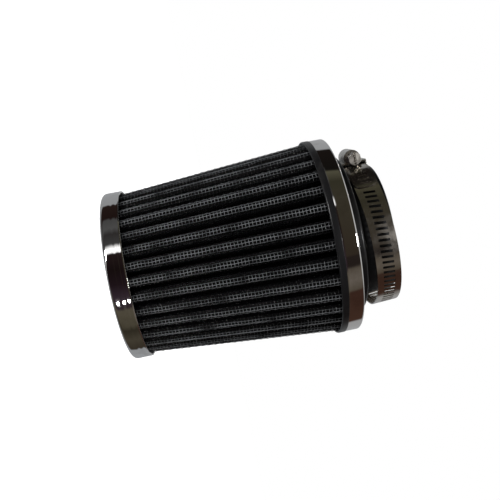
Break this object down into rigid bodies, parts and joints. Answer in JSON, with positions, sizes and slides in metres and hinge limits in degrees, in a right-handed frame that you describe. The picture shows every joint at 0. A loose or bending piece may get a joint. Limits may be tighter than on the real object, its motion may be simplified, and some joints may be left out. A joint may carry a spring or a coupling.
{
  "type": "clamp-on air filter",
  "caption": "Conical clamp-on air filter with a pleated wire-mesh element, bright end cap and base band, rubber neck and worm-drive clamp.",
  "frame": {"origin": "centre of the end cap's outer face, which the filter can stand on", "axes": "+Z along the filter's axis from the end cap to the inlet mouth; the clamp's housing is on the -X side and its screw head points to -Y"},
  "size_m": [0.0844, 0.0844, 0.1149],
  "materials": {
    "chrome_plate": "mirror-bright plated steel",
    "potting": "matt cast urethane",
    "wire_mesh": "black epoxy-coated woven wire",
    "cotton_gauze": "dark oiled cotton gauze",
    "seam_steel": "plain folded strip",
    "base_rubber": "semi-gloss moulded rubber",
    "clamp_steel": "bright rolled stainless strip",
    "screw_steel": "bright plated steel"
  },
  "bodies": {
    "filter": {"end_cap": "chrome_plate", "cap_potting": "potting", "outer_wire_mesh": "wire_mesh", "cotton_gauze_1": "cotton_gauze", "cotton_gauze_2": "cotton_gauze", "cotton_gauze_3": "cotton_gauze", "cotton_gauze_4": "cotton_gauze", "inner_wire_mesh": "wire_mesh", "pleat_seam_strip": "seam_steel", "base_potting": "potting", "rubber_base": "base_rubber", "base_band": "chrome_plate"},
    "clamp": {"clamp_saddle": "clamp_steel", "clamp_housing": "clamp_steel"},
    "band": {"clamp_band": "clamp_steel"},
    "screw": {"clamp_screw": "screw_steel"}
  },
  "joints": [
    {"name": "clamp_turn", "type": "hinge", "parent": "filter", "child": "clamp", "pos_m": [0, 0, 0.1081], "axis": [0, 0, 1], "continuous": true},
    {"name": "band_takeup", "type": "hinge", "parent": "clamp", "child": "band", "pos_m": [0.00155, 0, 0.1081], "axis": [-0.0576, 0, 0.9983], "range_deg": [-8.6, 8.6]},
    {"name": "screw_turn", "type": "hinge", "parent": "clamp", "child": "screw", "pos_m": [-0.03132, -0.007, 0.1062], "axis": [0.2076, -0.9781, 0.012], "range_deg": [-720, 720]}
  ],
  "couplings": [
    {"joint": "band_takeup", "follows": "screw_turn", "ratio": -0.011905}
  ]
}
